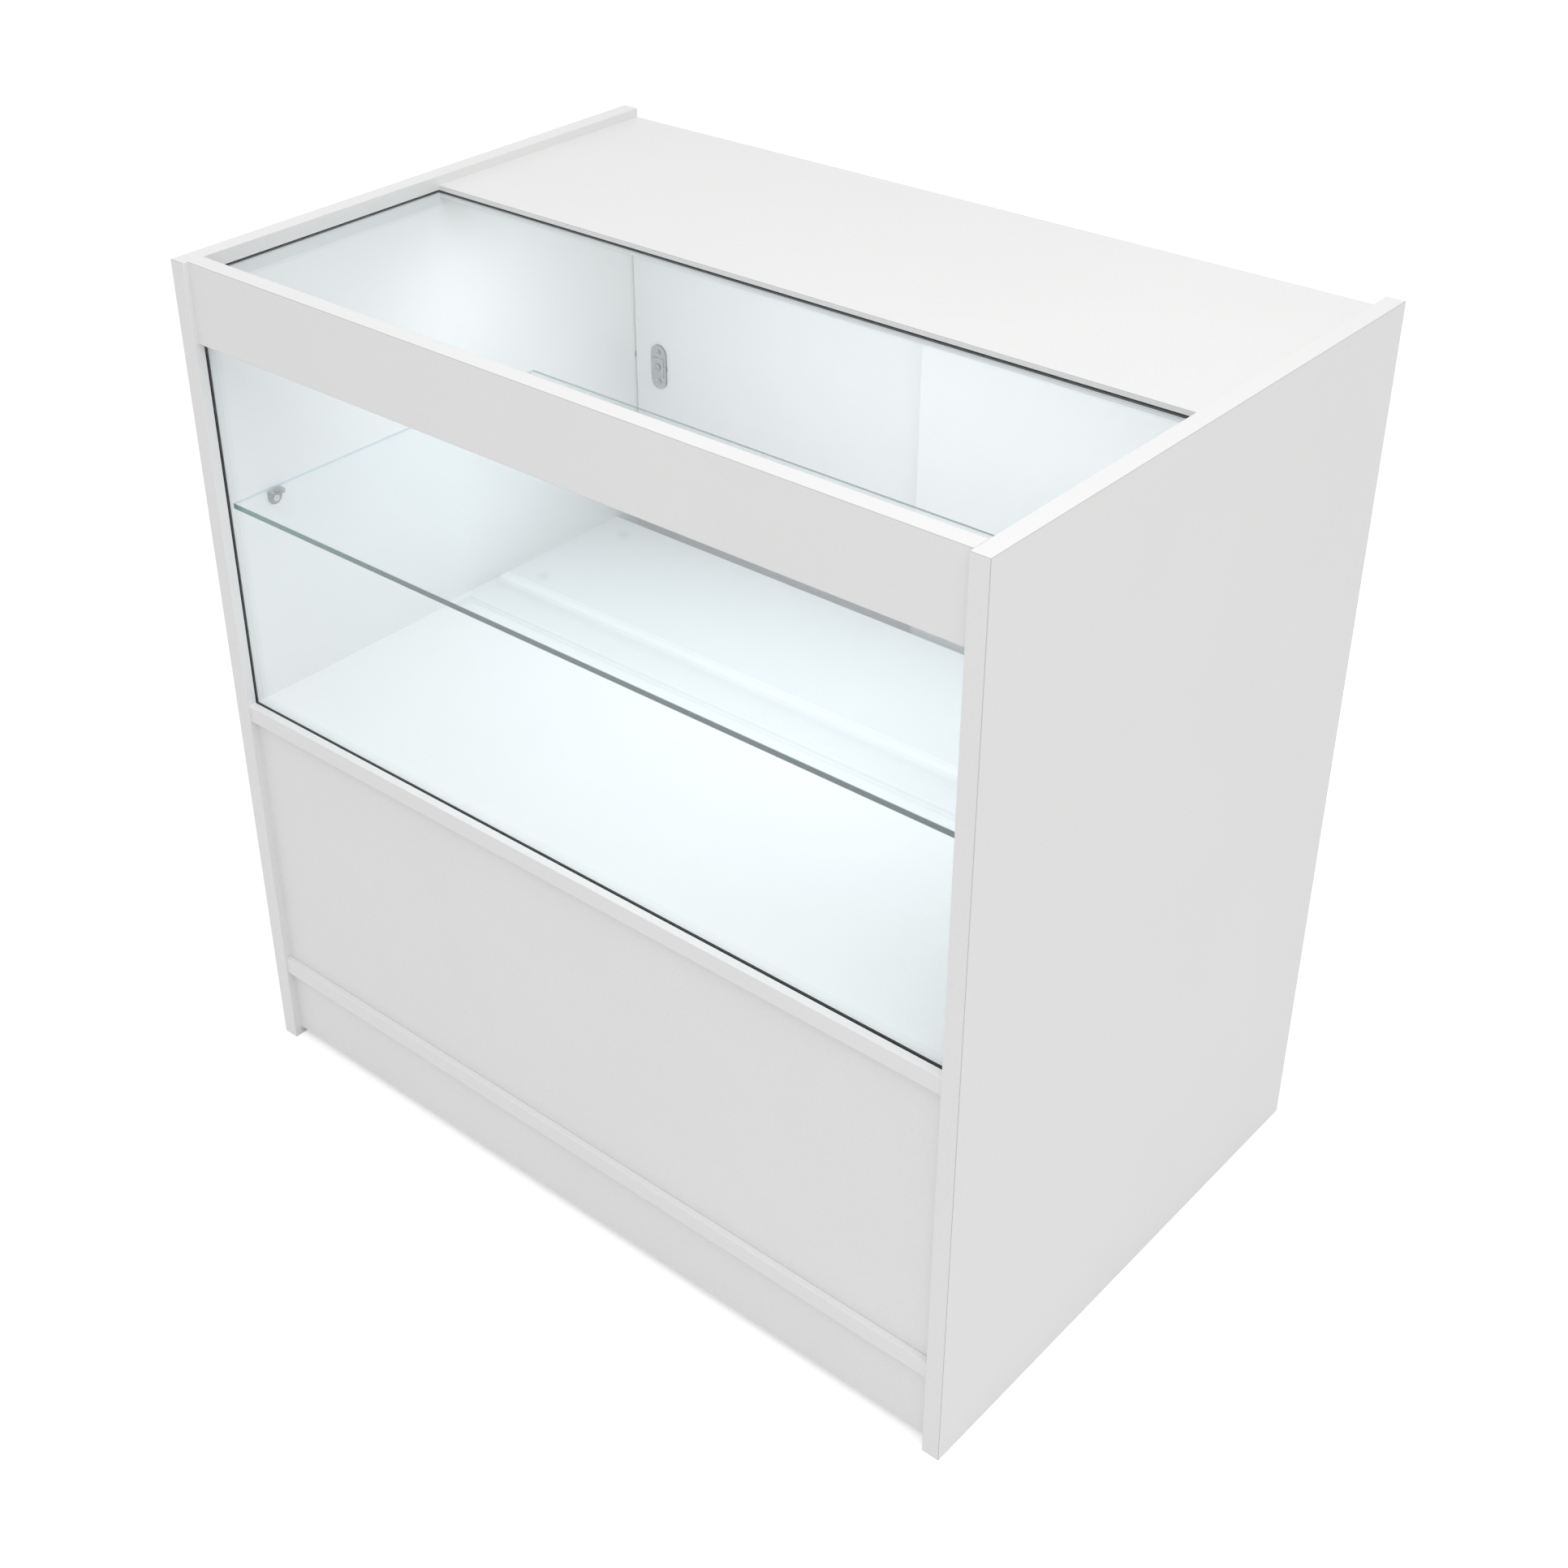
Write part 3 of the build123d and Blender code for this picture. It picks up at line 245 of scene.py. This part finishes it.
def edge_distance(tree, low, high):
    """How far a point on a box's face is from the nearest edge of that face."""
    middle, half = (low + high) / 2, (high - low) / 2
    offset = add(tree, "VectorMath", {0: own_place(tree), 1: middle}, operation="SUBTRACT")
    size = add(tree, "VectorMath", {0: offset.outputs[0]}, operation="ABSOLUTE")
    inward = add(tree, "VectorMath", {0: half, 1: size.outputs[0]}, operation="SUBTRACT")
    x, y, z = add(tree, "SeparateXYZ", {0: inward.outputs[0]}).outputs
    lesser = calc(tree, "MINIMUM", x, y)
    greater = calc(tree, "MAXIMUM", x, y)
    return calc(tree, "MAXIMUM", lesser, calc(tree, "MINIMUM", greater, z))


def blank(name):
    """A new node material, its tree and its Principled shader."""
    material = bpy.data.materials.new(name)
    material.use_nodes = True
    tree = material.node_tree
    return material, tree, tree.nodes["Principled BSDF"]


def put(tree, shader, **values):
    """Sets or links a shader's inputs, whose names are written with underscores."""
    for name, value in values.items():
        socket = shader.inputs[name.replace("_", " ")]
        if isinstance(value, bpy.types.NodeSocket):
            tree.links.new(value, socket)
        else:
            socket.default_value = (*value, 1.0) if isinstance(value, tuple) else value


def dress(node, material):
    """Gives a node its material."""
    for slot in NODES[node].material_slots:
        slot.link = "DATA"
        slot.material = material


def melamine(node):
    """White board: a faint pearl grain, and edging whose seam shows as a thin dark line and
    whose arris shows as a thin line of painted shade. The box is stretched where boards and side
    panels meet, so that no line shows there."""
    material, tree, shader = blank(f"melamine_{node}")
    low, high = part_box(node)
    thin = thinnest(low, high)
    if node != "side_panel_right":
        high[X] += PAST_JOINT
    if node != "side_panel_left":
        low[X] -= PAST_JOINT
    edge = edge_distance(tree, low, high)
    lines = 0.0 if node in PLAIN_EDGED else 1.0

    speck = fade(tree, grain(tree, SPECK_SIZE, SPECK_DETAIL), *SPECK_SPAN)
    cloud = fade(tree, grain(tree, CLOUD_SIZE), *CLOUD_SPAN, 0.0, CLOUD_SHARE)
    speckled = calc(tree, "MULTIPLY", speck, SPECK_SHARE)
    color = blend(tree, speckled, WHITE_BOARD, BOARD_SPECK)
    color = blend(tree, cloud, color, BOARD_SPECK)
    # Painted shade: a thin dark line along the arris of the edging
    color = blend(tree, fade(tree, edge, *ARRIS_SHADE_SPAN, 0.0, lines), color, BOARD_SEAM_AND_ARRIS_SHADE)

    seam = calc(tree, "MULTIPLY", fade(tree, edge, *SEAM_OUTER),
                fade(tree, edge, *SEAM_INNER, 0.0, lines))
    seam = calc(tree, "MULTIPLY", seam, along(tree, thin))
    color = blend(tree, calc(tree, "MULTIPLY", seam, SEAM_SHARE), color, BOARD_SEAM_AND_ARRIS_SHADE)

    pearl = grain(tree, PEARL_SIZE)
    height = calc(tree, "SUBTRACT", pearl, calc(tree, "MULTIPLY", seam, SEAM_DEPTH))
    put(tree, shader, Base_Color=color, IOR=COATING_IOR,
        Roughness=fade(tree, pearl, *NOISE_SPAN, *BOARD_ROUGHNESS),
        Normal=bumped(tree, height, *BOARD_BUMP))
    return material


def pane(node, tint, ground):
    """Clear float glass, green where its edges show, with painted shade greying those edges
    towards the right and painted light on their ends. Lamps and bounced light pass through it.
    """
    material, tree, shader = blank(f"glass_{node}")
    low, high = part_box(node)
    face = fade(tree, along(tree, thinnest(low, high)), *SQUARE_SPAN)
    place = add(tree, "SeparateXYZ", {0: own_place(tree)})
    # Painted shade: the edges grey from near their left end towards the right
    painted_greying = fade(tree, place.outputs[X], low[X], low[X] * EDGE_SHADE_FROM)
    edge_green_and_light = blend(tree, painted_greying, EDGE_GREEN, EDGE_PAINTED_SHADE)
    # Painted light: end faces that look along X come out pale
    edge_green_and_light = blend(tree, fade(tree, along(tree, X), *SQUARE_SPAN), edge_green_and_light, EDGE_PAINTED_LIGHT)
    ground_only = fade(tree, face, 1.0, 0.0, 0.0, GRIND_STRENGTH)
    put(tree, shader, Base_Color=blend(tree, face, edge_green_and_light, tint), IOR=GLASS_IOR,
        Roughness=fade(tree, face, 0.0, 1.0, ground, 0.0),
        Transmission_Weight=fade(tree, face, 0.0, 1.0, EDGE_CLEARNESS, 1.0),
        Normal=bumped(tree, grain(tree, GRIND_SIZE), GRIND_DEPTH, ground_only))

    clear = add(tree, "BsdfTransparent", {"Color": (*PANE_SHADOW, 1.0)})
    path = add(tree, "LightPath").outputs
    passing = calc(tree, "MAXIMUM", path["Is Shadow Ray"], path["Is Diffuse Ray"])
    both = add(tree, "MixShader", {0: passing, 1: shader.outputs[0], 2: clear.outputs[0]})
    tree.links.new(both.outputs[0], tree.nodes["Material Output"].inputs["Surface"])
    return material


def ring(tree, middle, inner, outer):
    """A soft-edged ring round a point, seen along Y, with its radii in millimetres."""
    offset = add(tree, "VectorMath", {0: own_place(tree), 1: middle}, operation="SUBTRACT")
    level = add(tree, "VectorMath", {0: offset.outputs[0], 1: (1, 0, 1)}, operation="MULTIPLY")
    size = add(tree, "VectorMath", {0: level.outputs[0]}, operation="LENGTH").outputs["Value"]
    starts = fade(tree, size, (inner - SOFT_OUTSIDE) * MM, (inner + SOFT_INSIDE) * MM)
    ends = fade(tree, size, (outer + SOFT_OUTSIDE) * MM, (outer - SOFT_INSIDE) * MM)
    return calc(tree, "MULTIPLY", starts, ends)


def lock_painted_shade(tree, color, side):
    """Painted shade in rings round a lock's screws and spindle cap, and in the hole of that cap.
    """
    low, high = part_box(f"lock_screws_{side}")
    middle = (low + high) / 2
    radius = (high[X] - low[X]) / 2
    reach = (high[Z] - low[Z]) / 2 - radius
    shade_marks = [ring(tree, middle, *CAP_SHADE_RING), ring(tree, middle, *CAP_HOLE_SHADE)]
    for way in (-1, 1):
        screw = (middle[X], middle[Y], middle[Z] + way * reach)
        shade_marks.append(ring(tree, screw, *SCREW_SHADE_RING))
    for shade_mark in shade_marks:
        color = blend(tree, shade_mark, color, RECESS_PAINTED_SHADE)
    return color


def screw_painted_shade(tree, color, node):
    """Painted shade down in the crosses of screws whose heads look to the front."""
    low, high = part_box(node)
    place = add(tree, "SeparateXYZ", {0: own_place(tree)})
    start, end = (low[Y] + depth for depth in CROSS_SHADE_SPAN)
    return blend(tree, fade(tree, place.outputs[Y], start, end), color, RECESS_PAINTED_SHADE)


def metal(name, color, roughness, size, stretch=(1, 1, 1), depth=0.01 * MM, flat=None,
          shade_marks=None, shaded_piece=None):
    """Plated, drawn or brushed metal: its grain, a slow drift of its polish, and painted shade
    on the walls of a small fitting whose flat faces look along the axis called flat. An optional
    function paints shade into the recesses of the piece given with it."""
    material, tree, shader = blank(name)
    lines = grain(tree, size, LINE_DETAIL, stretch)
    drift = grain(tree, METAL_DRIFT)
    darker = tuple(part * METAL_SHADE for part in color)
    duller, brighter = roughness - METAL_SPREAD / 2, roughness + METAL_SPREAD / 2
    polish = calc(tree, "ADD", fade(tree, lines, *NOISE_SPAN, -METAL_SPREAD, METAL_SPREAD),
                  fade(tree, drift, *NOISE_SPAN, duller, brighter))
    color = blend(tree, fade(tree, lines, *LINE_SPAN), color, darker)
    # Painted shade: walls that don't face along the flat axis come out darker
    if flat is not None:
        wall_shade = fade(tree, along(tree, flat), *WALL_SHADE_SPAN)
        color = blend(tree, wall_shade, color, tuple(part * WALL_PAINTED_SHADE for part in darker))
    # Painted shade in the recesses of the piece given
    if shade_marks:
        color = shade_marks(tree, color, shaded_piece)
    put(tree, shader, Base_Color=color, Metallic=1.0, Roughness=polish,
        Normal=bumped(tree, lines, depth, METAL_BUMP))
    return material


def moulded(name, color, roughness, depth=0.02 * MM):
    """Plastic or rubber with a fine moulded grain."""
    material, tree, shader = blank(name)
    fine = grain(tree, MOULD_SIZE)
    drift = fade(tree, grain(tree, MOULD_DRIFT), *NOISE_SPAN)
    darker = tuple(part * MOULD_SHADE for part in color)
    rough = (roughness - MOULD_SPREAD, roughness + MOULD_SPREAD)
    put(tree, shader, Base_Color=blend(tree, drift, color, darker), IOR=COATING_IOR,
        Roughness=fade(tree, fine, *NOISE_SPAN, *rough),
        Normal=bumped(tree, fine, depth, MOULD_BUMP))
    return material


def beech(name):
    """Turned beech with its grain along the dowel."""
    material, tree, shader = blank(name)
    fibre = grain(tree, FIBRE_SIZE, FIBRE_DETAIL, FIBRE_STRETCH)
    ray = fade(tree, grain(tree, RAY_SIZE, stretch=RAY_STRETCH), *RAY_SPAN)
    color = blend(tree, fade(tree, fibre, *NOISE_SPAN), *FIBRE_COLORS)
    color = blend(tree, calc(tree, "MULTIPLY", ray, RAY_SHARE), color, RAY_COLOR)
    put(tree, shader, Base_Color=color, Normal=bumped(tree, fibre, *WOOD_BUMP),
        Roughness=fade(tree, fibre, *NOISE_SPAN, *WOOD_ROUGHNESS))
    return material


def clear_plastic(name):
    """Soft clear plastic, slightly hazy."""
    material, tree, shader = blank(name)
    haze = grain(tree, HAZE_SIZE)
    put(tree, shader, Base_Color=blend(tree, haze, *HAZE_COLORS), IOR=HAZE_IOR,
        Roughness=fade(tree, haze, *NOISE_SPAN, *HAZE_ROUGHNESS),
        Transmission_Weight=HAZE_CLEARNESS, Normal=bumped(tree, haze, *HAZE_BUMP))
    return material


def glowing(name, color):
    """Frosted cover lit from behind: even light over a fine frost."""
    material, tree, shader = blank(name)
    frost = grain(tree, FROST_SIZE)
    put(tree, shader, Base_Color=blend(tree, frost, *FROST_COLORS),
        Roughness=fade(tree, frost, *NOISE_SPAN, *FROST_ROUGHNESS),
        Normal=bumped(tree, frost, *FROST_BUMP),
        Emission_Color=color, Emission_Strength=LED_GLOW)
    return material


def dress_all():
    """Gives every node the finish of its slot, one of its own where its size matters."""
    finishes = {
        "black_rubber": moulded("black_rubber", RUBBER_BLACK, roughness=0.52),
        "bracket_metal": metal("bracket_metal", NICKEL, roughness=0.26, size=0.5 * MM,
                               stretch=(1, 0.1, 1), flat=Z),
        "clear_pad": clear_plastic("clear_pad"),
        "screw_steel": metal("screw_steel", **SCREW_FINISH),
        "fitting_zinc": metal("fitting_zinc", ZINC, roughness=0.48, size=0.6 * MM,
                              depth=0.06 * MM),
        "dowel_wood": beech("dowel_wood"),
        "track_aluminium": metal("track_aluminium", TRACK_ALUMINIUM, roughness=0.34,
                                 size=0.4 * MM, stretch=(0.01, 1, 1)),
        "led_aluminium": metal("led_aluminium", LED_ALUMINIUM, roughness=0.38,
                               size=0.3 * MM, stretch=(0.01, 1, 1)),
        "led_board": moulded("led_board", CIRCUIT_WHITE, roughness=0.30),
        "led_chip": glowing("led_chip", LED_WARM),
        "led_diffuser": glowing("led_diffuser", LED_WHITE),
        "grey_plastic": moulded("grey_plastic", PLASTIC_GREY, roughness=0.50, depth=0.03 * MM),
        "nylon": moulded("nylon", NYLON_WHITE, roughness=0.38),
        "lock_nickel": metal("lock_nickel", **LOCK_FINISH),
        "pull_metal": metal("pull_metal", NICKEL, roughness=0.30, size=0.35 * MM,
                            stretch=(1, 1, 0.04), flat=Y),
    }
    for node, slot in SLOT_OF.items():
        if slot.endswith("melamine"):
            dress(node, melamine(node))
        elif node == "glass_shelf":
            dress(node, pane(node, SHELF_TINT, SHELF_GROUND))
        elif slot == "clear_glass":
            dress(node, pane(node, PANE_TINT, PANE_GROUND))
        else:
            dress(node, finishes[slot])
    for side in ("left", "right"):
        plate = metal(f"lock_plate_{side}", **LOCK_FINISH, shade_marks=lock_painted_shade, shaded_piece=side)
        dress(f"lock_case_{side}", plate)
        dress(f"lock_spindle_cap_{side}", plate)
        screws = f"lock_screws_{side}"
        dress(screws, metal(screws, **SCREW_FINISH, shade_marks=screw_painted_shade, shaded_piece=screws))


def seen_directly(tree):
    """1 where a ray comes from the camera or by way of metal or glass, 0 for bounced light."""
    path = add(tree, "LightPath").outputs
    shiny = calc(tree, "MAXIMUM", path["Is Glossy Ray"], path["Is Transmission Ray"])
    return calc(tree, "MAXIMUM", path["Is Camera Ray"], shiny)


def make_world():
    """An even white sky, which shows as plain white behind the counter."""
    world = bpy.data.worlds.new("studio")
    world.use_nodes = True
    bpy.context.scene.world = world
    tree = world.node_tree
    strength = fade(tree, seen_directly(tree), 0.0, 1.0, SKY, SKY_SEEN)
    background = tree.nodes["Background"]
    tree.links.new(strength, background.inputs["Strength"])
    background.inputs["Color"].default_value = (1, 1, 1, 1)


def make_floor():
    """A plain white floor that takes the counter's soft shadow."""
    mesh = bpy.data.meshes.new("studio_floor")
    half = FLOOR_SIZE / 2
    mesh.from_pydata([(-half, -half, 0), (half, -half, 0), (half, half, 0), (-half, half, 0)],
                     [], [(0, 1, 2, 3)])
    floor = bpy.data.objects.new("studio_floor", mesh)
    bpy.context.scene.collection.objects.link(floor)
    material, tree, shader = blank("studio_floor")
    put(tree, shader, Base_Color=FLOOR_WHITE, Roughness=FLOOR_ROUGHNESS,
        Specular_IOR_Level=0.0, Emission_Color=(1.0, 1.0, 1.0),
        Emission_Strength=fade(tree, seen_directly(tree), 0.0, 1.0, 0.0, FLOOR_GLOW))
    mesh.materials.append(material)


def make_lamp(name, place, size, watts, color=(1, 1, 1)):
    """A soft lamp that shines straight down and isn't mirrored in the glass."""
    light = bpy.data.lights.new(name, "AREA")
    light.shape = "RECTANGLE"
    light.size, light.size_y = size
    light.energy = watts
    light.color = color
    lamp = bpy.data.objects.new(name, light)
    lamp.location = place
    lamp.visible_glossy = False
    lamp.visible_transmission = False
    bpy.context.scene.collection.objects.link(lamp)


def make_lamps():
    """One large lamp overhead, and the light of the counter's own bar just under its cover."""
    make_lamp("overhead", KEY_PLACE, KEY_SIZE, KEY_WATTS)
    low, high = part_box("led_diffuser")
    under = ((low[X] + high[X]) / 2, (low[Y] + high[Y]) / 2, low[Z] - LED_DROP)
    make_lamp("bar_light", under, LED_SIZE, LED_WATTS, LED_WHITE)


def make_camera():
    """The photograph's camera."""
    data = bpy.data.cameras.new("camera")
    data.sensor_width = SENSOR_MM
    data.lens = FOCAL_PIXELS / PHOTO_PIXELS * SENSOR_MM
    data.shift_x = 0.5 - OPTICAL_CENTRE[0] / PHOTO_PIXELS
    data.shift_y = OPTICAL_CENTRE[1] / PHOTO_PIXELS - 0.5
    camera = bpy.data.objects.new("camera", data)
    camera.location = CAMERA_PLACE
    camera.rotation_euler = [radians(angle) for angle in CAMERA_TURN]
    bpy.context.scene.collection.objects.link(camera)
    bpy.context.scene.camera = camera


dress_all()
make_world()
make_floor()
make_lamps()
make_camera()
bpy.context.scene.view_settings.view_transform = "Standard"
